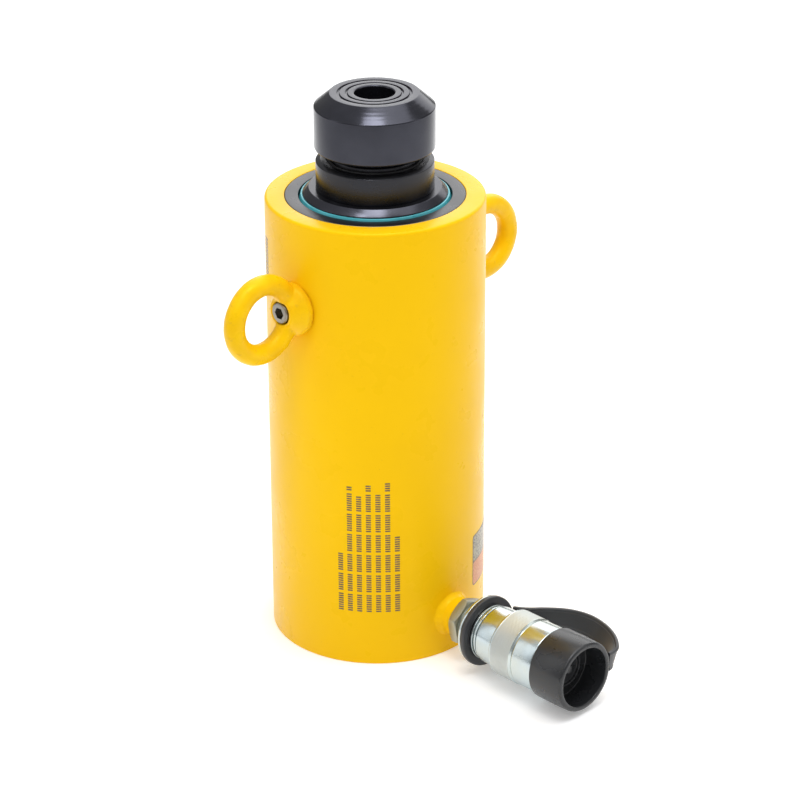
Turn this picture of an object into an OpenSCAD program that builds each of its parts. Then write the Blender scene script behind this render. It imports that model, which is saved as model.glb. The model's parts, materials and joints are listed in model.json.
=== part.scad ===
// Two-stage telescopic hydraulic cylinder, single acting, with a tilt saddle, two lifting eyes
// and a screw-collar coupler with a tethered dust cap.
// Origin: centre of the barrel's base face. +Z is the lifting axis, +X runs out along the coupler,
// and the lifting eyes stand at -Y and +Y.

/* [Barrel] */
// Outer diameter of the barrel
barrel_d = 122; // [120:1:128]
// Height of the barrel from its base face to its rim
barrel_h = 262; // [262:1:272]
// Thickness of the closed base
base_t = 30; // [30:1:32]
// Bore that the first stage's piston head runs in
bore_d = 90; // [90:0.5:91]
// Bore at the top that the gland nut screws into
gland_d = 100; // [100:0.5:102]
// Depth of the gland nut in the barrel
gland_h = 40; // [40:1:42]

/* [Stages] */
// Stroke of each stage
stroke = 135; // [120:1:135]
// Outer diameter of the first stage's sleeve
sleeve_d = 80; // [79.5:0.1:80]
// Height that the closed sleeve stands above the barrel's rim
sleeve_rise = 4.5; // [4:0.5:6]
// Diameter of the second stage's plunger
plunger_d = 50; // [49.5:0.1:50]
// Bore of the sleeve that the plunger's head runs in
sleeve_bore_d = 58; // [58:0.5:58.5]
// Height of the inner gland nut's round head
head_h = 16.6; // [15:0.1:17]
// Diameter of the inner gland nut's round head
head_d = 65.2; // [63:0.1:66]

/* [Saddle] */
// Outer diameter of the tilt saddle
saddle_d = 66.6; // [64:0.1:68]
// Height of the saddle's cylindrical side and top together
saddle_h = 31.5; // [31:0.1:33]
// Gap between the inner gland nut's head and the saddle
saddle_gap = 5.8; // [5.4:0.1:6.2]
// Diameter of the flat load face
saddle_face_d = 49.2; // [46:0.1:52]
// Diameter of the hole in the load face
saddle_hole_d = 22; // [22:0.1:24]

/* [Lifting eyes] */
// Height of the eyes' axes above the base
eye_z = 211.8; // [200:0.1:213]
// Middle diameter of each ring
eye_ring_d = 39.4; // [38:0.1:41]
// Thickness of the ring's round section
eye_wire_d = 12; // [11:0.1:12.4]
// Diameter of the foot that seats on the barrel
eye_foot_d = 30; // [28:0.5:32]

/* [Coupler] */
// Height of the coupler's axis above the base
port_z = 23.2; // [22.5:0.1:23.5]
// Diameter of the screw collar over its knurl
collar_d = 39.2; // [39:0.1:39.6]
// Diameter of the coupler's body behind the collar
coupler_d = 33.6; // [33.5:0.1:34]
// Outer diameter of the dust cap
cap_d = 41.2; // [41:0.1:42]
// Diameter of the dust cap's open socket
cap_socket_d = 34.2; // [34:0.1:35]
// Width of the dust cap's strap
strap_w = 11.5; // [10:0.5:12]
// Thickness of the dust cap's strap
strap_t = 2.4; // [2:0.1:2.6]

/* [Hidden] */
$fn = 96;

yellow = [0.96, 0.78, 0.05];
black_steel = [0.22, 0.23, 0.25];
steel = [0.6, 0.6, 0.62];
zinc = [0.76, 0.78, 0.78];
dull_zinc = [0.62, 0.63, 0.58];
teal = [0.2, 0.55, 0.58];
seal_black = [0.08, 0.08, 0.09];
bronze = [0.6, 0.45, 0.28];
plastic_black = [0.2, 0.2, 0.21];

// Clearances
run_gap = 0.05;    // running fit of a bearing, seal or spindle
side_gap = 0.3;    // free side gap between moving pieces
thread_gap = 0.1;  // gap that stands for a thread between joined pieces
groove_gap = 0.1;  // space round a ring in its groove
touch = 0.05;      // gap or bite where two pieces only meet
over = 1;          // how far a cutter runs past the face that it cuts

// Heights of the stack, from the base up
barrel_r = barrel_d / 2;
bore_r = bore_d / 2;
gland_r = gland_d / 2;
gland_z = barrel_h - gland_h;
sleeve_r = sleeve_d / 2;
sleeve_bore_r = sleeve_bore_d / 2;
sleeve_top = barrel_h + sleeve_rise;
sleeve_floor = 12;
stop_spacer = 38.3;
head_z = sleeve_top + head_h;
inner_thread_r = 30;
inner_gland_z = base_t + sleeve_floor + stop_spacer + stroke;
plunger_r = plunger_d / 2;
plunger_z = base_t + sleeve_floor;
saddle_z = head_z + saddle_gap;
saddle_top = saddle_z + saddle_h;
plunger_top = saddle_z - 3.4;

// The saddle's joint: ball and cup share one centre
tilt_z = saddle_z + 16.1;
far = 40;  // longer than any part of the ball seat
cup_r = 29.4;
ball_r = cup_r - side_gap;
cup_rim_r = 22;
bowl_r = 12.7;
dome_r = bowl_r - side_gap;
screw_r = 5;
washer_r = 9.6;
washer_drop = 6.4;
washer_top = tilt_z - washer_drop;
pocket_r = 10.6;
pocket_top = tilt_z + 1;

// Stations along the coupler, as distances from the lifting axis
boss_r = 10.9;
boss_x = 64;
boss_end = 70.5;
weld_r = 14.2;
port_r = 8.5;
port_depth_x = 50;
feed_x = 30;
feed_hole_r = 3.5;
riser_x = 33;
riser_r = 3;
hex_end = 76.3;
hex_corner_r = 14.43;
hex_turn = 40;
hex_chamfer_r = 1.6;
hex_chamfer_x = 1.2;
adapter_bore_r = 4.2;
thread_in = 93;
neck_r = 10.8;
flange_x = 84.5;
flange_end = 86.2;
flange_r = 19.5;
ring_x = 87;
ring_end = 90;
ring_r = 20.5;
ring_drop = 0.3;
ring_lean = 1.5;
ring_seat_r = 15;
rib_r = 16.2;
rib_w = 1.4;
rib_x = [90.9, 93.3];
rib_end = 95.5;
collar_x = 108.3;
collar_step = 126.2;
knurl_end = 123.6;
collar_end = 139.8;
collar_r = collar_d / 2;
collar_gap = 0.08;
smooth_r = collar_r - 0.3;
journal_r = 16.5;
journal_end = 126.6;
snap_groove_r = 15.4;
snap_groove_end = 128.1;
shoulder_end = 129.4;
collar_bore_r = 17.5;
nose_end = 139;
nose_r = 14.2;
mouth_x = 132.4;
mouth_r = 10.2;
nose_seal_x = 135.7;
nose_seal_r = 11;
cap_x = 140.2;
cap_end = 163.8;
cap_r = cap_d / 2;
cap_floor = 148.4;
cap_socket_r = cap_socket_d / 2;
spigot_x = 130.5;
spigot_r = 17.1;
cap_pocket_r = 14.6;
valve_bore_r = 9;
valve_x = 104;
valve_bore_end = 128;
seat_x = 130.8;
seat_r = 6.4;
bridge_r = 4.6;
guide_end = 107.5;
guide_boss_end = 110.5;
guide_boss_r = 5;
bypass_r = 1.3;
bypass_out = 6.7;
stem_r = 3;

// Knurl and spring
knurl_teeth = 72;
knurl_depth = 0.35;
spring_turns = 6;
spring_wire_r = 0.8;
spring_r = 6.6;
spring_x = 107.7;
spring_end = 124.8;

// Small repeated shapes -----------------------------------------------------------------------

// A solid of revolution about Z from (radius, height) points
module lathe(points) {
    rotate_extrude() polygon(points);
}

// The same about the coupler's axis, from (radius, station) points
module lathe_x(points) {
    translate([0, 0, port_z]) rotate([0, 90, 0]) lathe(points);
}

// A round rod or hole along the coupler's axis
module rod_x(r, x0, x1) {
    translate([x0, 0, port_z]) rotate([0, 90, 0]) cylinder(r = r, h = x1 - x0);
}

// A flat ring about Z
module band(r_in, r_out, z0, z1) {
    lathe([[r_in, z0], [r_out, z0], [r_out, z1], [r_in, z1]]);
}

// An O-ring about Z
module o_ring(r, section_r, z) {
    translate([0, 0, z]) rotate_extrude() translate([r, 0]) circle(r = section_r, $fn = 32);
}

// Barrel and its fixed pieces -----------------------------------------------------------------

rim_edge = 1.6;
base_edge = 1;
spot_y = 60.4;
spot_r = 16;
boss_bite = 3;
weld_edge = 1;
stud_r = 6;
stud_depth = 50.4;
stud_end = 72.4;
stud_socket_r = 3.46;
stud_socket_h = 6;

module barrel() {
    color(yellow) difference() {
        lathe([
            [0, 0], [barrel_r - base_edge, 0], [barrel_r, base_edge], [barrel_r, barrel_h - rim_edge],
            [barrel_r - rim_edge * 0.3, barrel_h - rim_edge * 0.3], [barrel_r - rim_edge, barrel_h],
            [gland_r, barrel_h], [gland_r, gland_z], [bore_r, gland_z], [bore_r, base_t], [0, base_t]
        ]);
        // threaded port, feed drilling and the riser into the chamber
        rod_x(port_r, port_depth_x, barrel_r + over);
        rod_x(feed_hole_r, feed_x, port_depth_x + over);
        translate([riser_x, 0, port_z]) cylinder(r = riser_r, h = base_t - port_z + over, $fn = 48);
        // seats and tapped holes of the lifting eyes
        for (side = [-1, 1]) {
            out_y(side, spot_y) cylinder(r = spot_r, h = barrel_r - spot_y + over);
            out_y(side, stud_depth) cylinder(r = stud_r, h = barrel_r - stud_depth + over);
        }
    }
}

module port_boss() {
    color(yellow) difference() {
        // round boss on the weld that spreads from it onto the barrel
        lathe_x([
            [0, barrel_r - boss_bite], [weld_r, barrel_r - boss_bite], [weld_r, barrel_r - weld_edge],
            [boss_r, boss_x], [boss_r, boss_end - 0.4], [boss_r - 0.4, boss_end], [0, boss_end]
        ]);
        cylinder(r = barrel_r, h = barrel_h);
        rod_x(port_r, barrel_r - boss_bite - over, boss_end + over);
    }
}

// Places a turned shape on an eye's axis with its base at y, pointing outwards on that side
module out_y(side, y) {
    translate([0, side * y, eye_z]) rotate([-90 * side, 0, 0]) children();
}

// One lifting eye, its foot at +Y: a round ring on a foot that narrows towards it
module eye() {
    foot_r = eye_foot_d / 2;
    foot_h = 11.2;
    ring_out = 24.67;
    color(yellow) difference() {
        union() {
            translate([0, spot_y + ring_out, eye_z]) rotate([0, 90, 0]) rotate_extrude()
                translate([eye_ring_d / 2, 0]) circle(d = eye_wire_d, $fn = 48);
            out_y(1, spot_y) lathe([
                [0, 0], [foot_r, 0], [foot_r, 4], [foot_r - 1.2, 6.2], [foot_r - 4, 8.6],
                [foot_r - 6.6, foot_h], [0, foot_h]
            ]);
        }
        // nothing of the ring passes below the foot's seat
        out_y(1, spot_y - eye_wire_d) cylinder(r = eye_ring_d, h = eye_wire_d);
        out_y(1, spot_y - over) cylinder(r = stud_r + thread_gap, h = stud_end - spot_y + 2 * stud_r);
    }
}

module lifting_eye_right() {
    eye();
}

module lifting_eye_left() {
    mirror([0, 1, 0]) eye();
}

module eye_studs() {
    length = stud_end - stud_depth;
    color(steel) for (side = [-1, 1])
        out_y(side, stud_depth + thread_gap) difference() {
            cylinder(r = stud_r - thread_gap, h = length);
            translate([0, 0, length - stud_socket_h])
                cylinder(r = stud_socket_r, h = stud_socket_h + over, $fn = 6);
        }
}

// Gland at the top of the barrel --------------------------------------------------------------

// A wiper with a lip that leans in on the rod, standing in a groove under a wider mouth
module wiper(in_r, out_r, z, shoulder_z, lip_z) {
    lathe([
        [in_r, z], [out_r, z], [out_r, shoulder_z], [(in_r + out_r) / 2, shoulder_z + groove_gap],
        [in_r + 1, lip_z - 0.3], [in_r + 0.6, lip_z], [in_r, lip_z - 0.2]
    ]);
}

// A U-cup rod seal, its groove towards the oil below
module rod_seal(in_r, out_r, z, height) {
    width = out_r - in_r;
    color(seal_black) lathe([
        [in_r, z], [in_r + width * 0.35, z], [in_r + width / 2, z + height * 0.3],
        [in_r + width * 0.65, z], [out_r, z], [out_r, z + height], [in_r, z + height]
    ]);
}

// The groove that a ring of this outline sits in, cut from bore radius r
module groove(r, out_r, z, height) {
    band(r, out_r + groove_gap, z - groove_gap, z + height + groove_gap);
}

nut_end_gap = 0.2;
nut_top_gap = 0.1;
nut_edge = 1;
seal_r = sleeve_r + run_gap;
gland_bore_r = sleeve_r + side_gap;
guide_out_r = 42.3;
seal_out_r = 44.6;
wiper_out_r = 44.2;
wiper_mouth_r = 42.4;
gland_ring_z = gland_z + 4;
gland_ring_h = 8;
gland_seal_z = gland_z + 14;
gland_seal_h = 6.9;
gland_backup_z = gland_seal_z + gland_seal_h + groove_gap;
gland_backup_h = 2;
gland_wiper_z = barrel_h - 6;
gland_wiper_h = 3;
gland_oring_r = 48.3;
gland_oring_section = 1.6;
gland_oring_z = gland_z + 30;

module gland_nut() {
    nut_r = gland_r - thread_gap;
    nut_z = gland_z + nut_end_gap;
    nut_top = barrel_h - nut_top_gap;
    color(black_steel) difference() {
        lathe([
            [gland_bore_r, nut_z], [nut_r - nut_edge, nut_z], [nut_r, nut_z + nut_edge],
            [nut_r, nut_top - 0.7], [nut_r - 0.6, nut_top], [gland_bore_r, nut_top]
        ]);
        groove(sleeve_r, guide_out_r, gland_ring_z, gland_ring_h);
        groove(sleeve_r, seal_out_r, gland_seal_z, gland_seal_h + groove_gap + gland_backup_h);
        groove(sleeve_r, wiper_out_r, gland_wiper_z, gland_wiper_h);
        band(sleeve_r, wiper_mouth_r, gland_wiper_z, barrel_h + over);
        band(
            gland_oring_r - gland_oring_section - groove_gap, gland_r + over,
            gland_oring_z - gland_oring_section - 2 * groove_gap,
            gland_oring_z + gland_oring_section + 2 * groove_gap
        );
    }
}

module gland_wiper() {
    color(teal) wiper(seal_r, wiper_out_r, gland_wiper_z, gland_wiper_z + gland_wiper_h, barrel_h + 0.6);
}

module gland_rod_seal() {
    rod_seal(seal_r, seal_out_r, gland_seal_z, gland_seal_h);
}

module gland_backup_ring() {
    color("ivory") band(seal_r, seal_out_r, gland_backup_z, gland_backup_z + gland_backup_h);
}

module gland_guide_ring() {
    color(bronze) band(seal_r, guide_out_r, gland_ring_z, gland_ring_z + gland_ring_h);
}

module gland_static_seal() {
    color(seal_black) o_ring(gland_oring_r, gland_oring_section, gland_oring_z);
}

// First stage ---------------------------------------------------------------------------------

sleeve_head_r = bore_r - side_gap;
sleeve_head_z = gland_z - stroke - 0.3;
head_edge = 1;
foot_relief = 1.5;  // depth of the hollow under each piston head, where oil gets under it
sleeve_relief_r = 38;
feed_r = 6;
sleeve_ring_z = base_t + 22;
sleeve_ring_h = 12;
sleeve_ring_t = 2.5;
sleeve_chamfer = 3.4;

module stage_1_sleeve() {
    color(black_steel) difference() {
        lathe([
            [feed_r, base_t + foot_relief], [sleeve_relief_r, base_t + foot_relief],
            [sleeve_relief_r, base_t], [sleeve_head_r - head_edge, base_t],
            [sleeve_head_r, base_t + head_edge], [sleeve_head_r, sleeve_head_z],
            [sleeve_r, sleeve_head_z], [sleeve_r, sleeve_top - sleeve_chamfer],
            [sleeve_r - sleeve_chamfer, sleeve_top], [inner_thread_r, sleeve_top],
            [inner_thread_r, inner_gland_z], [sleeve_bore_r, inner_gland_z],
            [sleeve_bore_r, plunger_z], [feed_r, plunger_z]
        ]);
        band(
            sleeve_head_r - sleeve_ring_t - groove_gap, bore_r + over,
            sleeve_ring_z - groove_gap, sleeve_ring_z + sleeve_ring_h + groove_gap
        );
    }
}

module stage_1_guide_ring() {
    color(bronze) band(
        sleeve_head_r - sleeve_ring_t, bore_r - run_gap, sleeve_ring_z, sleeve_ring_z + sleeve_ring_h
    );
}

// Inner gland, which closes the sleeve and guides the plunger
inner_seal_r = plunger_r + run_gap;
inner_bore_r = plunger_r + side_gap;
inner_guide_out_r = 27.1;
inner_seal_out_r = 28.1;
inner_mouth_r = 27;
inner_ring_z = inner_gland_z + 4;
inner_ring_h = 8;
inner_seal_z = inner_gland_z + 24;
inner_seal_h = 5.9;
inner_backup_z = inner_seal_z + inner_seal_h + groove_gap;
inner_backup_h = 1.4;
inner_wiper_z = head_z - 6;
inner_wiper_h = 3.6;
inner_oring_r = 28.85;
inner_oring_section = 1;
inner_oring_z = inner_gland_z + 17;

module inner_gland_nut() {
    nut_r = inner_thread_r - thread_gap;
    nut_z = inner_gland_z + nut_end_gap;
    head_r = head_d / 2;
    color(black_steel) difference() {
        lathe([
            [inner_bore_r, nut_z], [nut_r - nut_edge, nut_z], [nut_r, nut_z + nut_edge],
            [nut_r, sleeve_top], [head_r, sleeve_top], [head_r, head_z - 1.3], [head_r - 2.6, head_z],
            [inner_bore_r, head_z]
        ]);
        groove(plunger_r, inner_guide_out_r, inner_ring_z, inner_ring_h);
        groove(plunger_r, inner_seal_out_r, inner_seal_z, inner_seal_h + groove_gap + inner_backup_h);
        groove(plunger_r, inner_seal_out_r, inner_wiper_z, inner_wiper_h);
        band(plunger_r, inner_mouth_r, inner_wiper_z, head_z + over);
        band(
            inner_oring_r - inner_oring_section - groove_gap, inner_thread_r + over,
            inner_oring_z - inner_oring_section - 2 * groove_gap,
            inner_oring_z + inner_oring_section + 2 * groove_gap
        );
    }
}

module inner_wiper() {
    color(seal_black)
        wiper(inner_seal_r, inner_seal_out_r, inner_wiper_z, inner_wiper_z + inner_wiper_h, head_z + 0.3);
}

module inner_rod_seal() {
    rod_seal(inner_seal_r, inner_seal_out_r, inner_seal_z, inner_seal_h);
}

module inner_backup_ring() {
    color("ivory") band(inner_seal_r, inner_seal_out_r, inner_backup_z, inner_backup_z + inner_backup_h);
}

module inner_gland_guide_ring() {
    color(bronze) band(inner_seal_r, inner_guide_out_r, inner_ring_z, inner_ring_z + inner_ring_h);
}

module inner_static_seal() {
    color(seal_black) o_ring(inner_oring_r, inner_oring_section, inner_oring_z);
}

// Second stage --------------------------------------------------------------------------------

plunger_head_r = sleeve_bore_r - side_gap;
plunger_head_z = plunger_z + stop_spacer - 0.3;
plunger_relief_r = 22;
plunger_ring_z = plunger_z + 10;
plunger_ring_h = 10;
plunger_ring_t = 2;
screw_end = plunger_top - 20;
screw_hole_end = screw_end - 4;
screw_head_r = 8;
screw_head_h = 5.8;
screw_socket_r = 4.04;
screw_socket_h = 3.4;

module stage_2_plunger() {
    color(black_steel) difference() {
        lathe([
            [0, plunger_z + foot_relief], [plunger_relief_r, plunger_z + foot_relief],
            [plunger_relief_r, plunger_z], [plunger_head_r - head_edge, plunger_z],
            [plunger_head_r, plunger_z + head_edge], [plunger_head_r, plunger_head_z],
            [plunger_r, plunger_head_z], [plunger_r, plunger_top - 1], [plunger_r - 1, plunger_top],
            [0, plunger_top]
        ]);
        band(
            plunger_head_r - plunger_ring_t - groove_gap, sleeve_bore_r + over,
            plunger_ring_z - groove_gap, plunger_ring_z + plunger_ring_h + groove_gap
        );
        translate([0, 0, tilt_z]) sphere(r = cup_r, $fn = 128);
        translate([0, 0, screw_hole_end]) cylinder(r = screw_r + thread_gap, h = tilt_z - screw_hole_end);
    }
}

module stage_2_guide_ring() {
    color(bronze) band(
        plunger_head_r - plunger_ring_t, sleeve_bore_r - run_gap,
        plunger_ring_z, plunger_ring_z + plunger_ring_h
    );
}

module saddle_screw() {
    head_base = washer_top + touch;
    color(steel) difference() {
        union() {
            translate([0, 0, screw_end]) cylinder(r = screw_r, h = head_base - screw_end);
            translate([0, 0, head_base]) cylinder(r = screw_head_r, h = screw_head_h);
        }
        translate([0, 0, head_base + screw_head_h - screw_socket_h])
            cylinder(r = screw_socket_r, h = screw_socket_h + over, $fn = 6);
    }
}

// Tilt saddle and its domed washer ------------------------------------------------------------

web_hole_r = 8;
saddle_edge = 1.5;
saddle_chamfer_h = 7.4;
face_ring_r = [14.6, 19.1];
face_ring_w = 1.5;
face_ring_h = 0.9;

module saddle_washer() {
    color(steel) difference() {
        intersection() {
            translate([0, 0, tilt_z]) sphere(r = dome_r, $fn = 128);
            translate([0, 0, washer_top - far]) cylinder(r = washer_r, h = far);
        }
        translate([0, 0, tilt_z - far]) cylinder(r = screw_r + collar_gap, h = far);
    }
}

module saddle() {
    outer_r = saddle_d / 2;
    face_r = saddle_face_d / 2;
    hole_r = saddle_hole_d / 2;
    color(black_steel) difference() {
        union() {
            lathe([
                [0, saddle_z], [outer_r - saddle_edge, saddle_z], [outer_r, saddle_z + saddle_edge],
                [outer_r, saddle_top - saddle_chamfer_h], [face_r, saddle_top], [0, saddle_top]
            ]);
            // the ball below the flat underside
            intersection() {
                translate([0, 0, tilt_z]) sphere(r = ball_r, $fn = 128);
                translate([0, 0, tilt_z - far]) cylinder(r = cup_rim_r, h = far);
            }
        }
        // hole for an insert, narrower below, and the bowl under the washer
        translate([0, 0, pocket_top]) cylinder(r = hole_r, h = far);
        translate([0, 0, tilt_z - 2]) cylinder(r = pocket_r, h = 2 + pocket_top - tilt_z + over);
        intersection() {
            translate([0, 0, tilt_z]) sphere(r = bowl_r, $fn = 128);
            translate([0, 0, tilt_z - far]) cylinder(r = pocket_r, h = far);
        }
        translate([0, 0, tilt_z - far]) cylinder(r = web_hole_r, h = far);
        for (r = face_ring_r)
            band(r, r + face_ring_w, saddle_top - face_ring_h, saddle_top + over);
    }
}

// Coupler -------------------------------------------------------------------------------------

module port_adapter() {
    face_r = hex_corner_r - hex_chamfer_r;
    color(dull_zinc) difference() {
        union() {
            rod_x(port_r - thread_gap, port_depth_x + 3, boss_end + touch);
            intersection() {
                translate([boss_end + touch, 0, port_z]) rotate([0, 90, 0]) rotate([0, 0, 90 + hex_turn])
                    cylinder(r = hex_corner_r, h = hex_end - boss_end, $fn = 6);
                lathe_x([
                    [0, boss_end], [face_r, boss_end], [hex_corner_r, boss_end + hex_chamfer_x],
                    [hex_corner_r, hex_end - hex_chamfer_x], [face_r, hex_end + touch],
                    [0, hex_end + touch]
                ]);
            }
            rod_x(neck_r, hex_end - over, flange_x - touch);
            rod_x(port_r - thread_gap, flange_x - over, thread_in);
        }
        rod_x(adapter_bore_r, port_depth_x, thread_in + over);
    }
}

// A raised rib with sloped flanks, as points of the body's outline
function rib_points(x) = [
    [ring_seat_r, x - 0.1], [rib_r, x + 0.1], [rib_r, x + rib_w - 0.1], [ring_seat_r, x + rib_w + 0.1]
];

module coupler_body() {
    body_r = coupler_d / 2;
    body_end = collar_x - side_gap;
    shoulder_r = journal_r - 0.5;
    color(zinc) difference() {
        lathe_x(concat(
            [
                [0, flange_x], [flange_r - 0.4, flange_x], [flange_r, flange_x + 0.4],
                [flange_r, flange_end - 0.4], [flange_r - 0.4, flange_end], [ring_seat_r, flange_end]
            ],
            rib_points(rib_x[0]), rib_points(rib_x[1]),
            [
                [ring_seat_r, rib_end], [body_r - 0.6, rib_end], [body_r, rib_end + 0.6],
                [body_r, body_end], [journal_r, body_end], [journal_r, journal_end],
                [snap_groove_r, journal_end], [snap_groove_r, snap_groove_end],
                [shoulder_r, snap_groove_end], [shoulder_r, shoulder_end], [nose_r, shoulder_end],
                [nose_r, nose_end - 0.6], [nose_r - 0.6, nose_end], [0, nose_end]
            ]
        ));
        rod_x(port_r, flange_x - over, thread_in + 3);
        rod_x(bridge_r, thread_in, valve_x + over);
        rod_x(valve_bore_r, valve_x, valve_bore_end);
        // cone that the poppet closes on, and the receptacle in front of it
        lathe_x([
            [0, valve_bore_end - 0.1], [valve_bore_r, valve_bore_end - 0.1], [seat_r, seat_x],
            [seat_r, mouth_x + 0.6], [0, mouth_x + 0.6]
        ]);
        rod_x(mouth_r, mouth_x, nose_end + over);
        // groove for the nose seal
        lathe_x([
            [mouth_r - over, nose_seal_x - 1.3], [nose_seal_r + 1.1, nose_seal_x - 1.3],
            [nose_seal_r + 1.1, nose_seal_x + 1.3], [mouth_r - over, nose_seal_x + 1.3]
        ]);
    }
}

module coupler_nose_seal() {
    color(seal_black) translate([nose_seal_x, 0, port_z]) rotate([0, 90, 0]) o_ring(nose_seal_r, 1, 0);
}

module valve_guide() {
    color(steel) difference() {
        union() {
            rod_x(valve_bore_r - thread_gap, valve_x + touch, guide_end);
            rod_x(guide_boss_r, guide_end - 0.1, guide_boss_end);
        }
        rod_x(stem_r + 0.06, valve_x - over, guide_boss_end + over);
        // holes that let the oil past
        for (turn = [0:90:270])
            translate([0, 0, port_z]) rotate([turn, 0, 0]) translate([valve_x - over, 0, bypass_out])
                rotate([0, 90, 0]) cylinder(r = bypass_r, h = guide_end - valve_x + 2 * over, $fn = 24);
    }
}

module collar_snap_ring() {
    x0 = journal_end + 0.1;
    x1 = snap_groove_end - 0.1;
    slot_w = 4;
    color(steel) difference() {
        lathe_x([[snap_groove_r + 0.1, x0], [17.2, x0], [17.2, x1], [snap_groove_r + 0.1, x1]]);
        translate([x0 - over, -slot_w / 2, port_z - 2 * snap_groove_r])
            cube([x1 - x0 + 2 * over, slot_w, snap_groove_r + slot_w]);
    }
}

// Rings of points around a helix, joined into one closed wire
wire_sides = 6;
wire_steps = spring_turns * 18;
function coil_point(i) =
    let (
        turn = 360 * spring_turns * i / wire_steps,
        x = spring_x + spring_wire_r + (spring_end - spring_x - 2 * spring_wire_r) * i / wire_steps
    )
    [x, spring_r * cos(turn), port_z + spring_r * sin(turn)];
function wire_point(i, k) =
    let (
        turn = 360 * spring_turns * i / wire_steps,
        around = 360 * k / wire_sides,
        out = spring_wire_r * cos(around),
        along = spring_wire_r * sin(around)
    )
    coil_point(i) + [along, out * cos(turn), out * sin(turn)];
// Faces of a tube swept through `rings` rings of `sides` points, closed at both ends
function tube_faces(rings, sides) = concat(
    [[for (k = [0:sides - 1]) k]],
    [for (i = [0:rings - 2], k = [0:sides - 1])
        [i * sides + k, (i + 1) * sides + k, (i + 1) * sides + (k + 1) % sides, i * sides + (k + 1) % sides]],
    [[for (k = [sides - 1:-1:0]) (rings - 1) * sides + k]]
);

module valve_spring() {
    color(steel) polyhedron(
        points = [for (i = [0:wire_steps], k = [0:wire_sides - 1]) wire_point(i, k)],
        faces = tube_faces(wire_steps + 1, wire_sides)
    );
}

module valve_poppet() {
    color(steel) difference() {
        lathe_x([
            [0, 106.5], [stem_r, 106.5], [stem_r, 125], [8.3, 125], [8.3, 127.7],
            [6.3, 130], [3.4, 131.4], [2.6, 132.4], [2.6, 137.2], [2, 137.8], [0, 137.8]
        ]);
        lathe_x([[7.15, 126.2], [9, 126.2], [9, 127.6], [7.15, 127.6]]);
    }
}

module poppet_seal() {
    color(seal_black) lathe_x([[7.2, 126.3], [8.5, 126.3], [8.5, 127.5], [7.2, 127.5]]);
}

module coupler_collar() {
    bore = journal_r + collar_gap;
    knurl_x = collar_x + 1.4;
    color(zinc) difference() {
        lathe_x([
            [bore, collar_x], [collar_r - 0.8, collar_x], [collar_r, collar_x + 0.8],
            [collar_r, knurl_end], [collar_r - 1, knurl_end + 0.9], [smooth_r - 0.2, knurl_end + 1.6],
            [smooth_r, knurl_end + 2.2], [smooth_r, collar_end - 0.8], [smooth_r - 0.8, collar_end],
            [collar_bore_r, collar_end], [collar_bore_r, collar_step], [bore, collar_step]
        ]);
        // straight knurl round the rear half
        for (turn = [0:360 / knurl_teeth:359])
            translate([0, 0, port_z]) rotate([turn, 0, 0]) translate([knurl_x, 0, collar_r])
                rotate([0, 90, 0]) cylinder(r = knurl_depth, h = knurl_end - knurl_x - 0.6, $fn = 4);
    }
}

// Dust cap, its ring and its strap ------------------------------------------------------------

// The ring hangs loose in its groove, its top leaning back against the flange
module strap_ring() {
    half = (ring_end - ring_x) / 2;
    bore = ring_seat_r + 0.5;
    edge = 0.6;
    color(plastic_black)
        translate([ring_x + half, 0, port_z - ring_drop]) rotate([0, 90 - ring_lean, 0]) lathe([
            [bore, -half], [ring_r - edge, -half], [ring_r, edge - half],
            [ring_r, half - edge], [ring_r - edge, half], [bore, half]
        ]);
}

module dust_cap() {
    color(plastic_black) lathe_x([
        [0, cap_floor], [cap_socket_r, cap_floor], [cap_socket_r, cap_end - 1], [cap_socket_r + 0.6, cap_end],
        [cap_r - 1.6, cap_end], [cap_r - 0.5, cap_end - 1.2], [cap_r, cap_end - 4], [cap_r, cap_x + 1],
        [cap_r - 1, cap_x], [spigot_r, cap_x], [spigot_r, spigot_x + 0.8], [spigot_r - 0.8, spigot_x],
        [cap_pocket_r, spigot_x], [cap_pocket_r, cap_x + 2.2], [0, cap_x + 2.2]
    ]);
}

// The strap's middle line, from the ring round the far side to the cap
strap_path = [
    [88.5, 21.9, 24.6], [93, 23.2, 24.8], [98, 26.6, 25.2], [103.5, 31.4, 25.7], [109, 35.6, 26.1],
    [115, 38.8, 26.4], [121.5, 41, 26.6], [128, 42.2, 26.6], [134.5, 42.1, 26.5],
    [141, 40.8, 26.3], [147, 38.7, 26], [152.5, 36.1, 25.7], [157.2, 33, 25.3], [160.5, 29.6, 24.8],
    [161.7, 25.6, 24.2], [161.4, 21.5, 23.7]
];
strap_rings = len(strap_path);
// Direction across the strap's thickness at each point, level and square to its run
function strap_run(i) =
    strap_path[min(i + 1, strap_rings - 1)] - strap_path[max(i - 1, 0)];
function strap_side(i) =
    let (run = strap_run(i), size = norm([run.x, run.y]))
    [run.y / size, -run.x / size, 0];
function strap_corner(i, k) =
    let (
        out = (k == 0 || k == 3) ? -0.5 : 0.5,
        up = k < 2 ? -0.5 : 0.5
    )
    strap_path[i] + out * strap_t * strap_side(i) + [0, 0, up * strap_w];

module dust_cap_strap() {
    color(plastic_black) polyhedron(
        points = [for (i = [0:strap_rings - 1], k = [0:3]) strap_corner(i, k)],
        faces = tube_faces(strap_rings, 4)
    );
}

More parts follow.
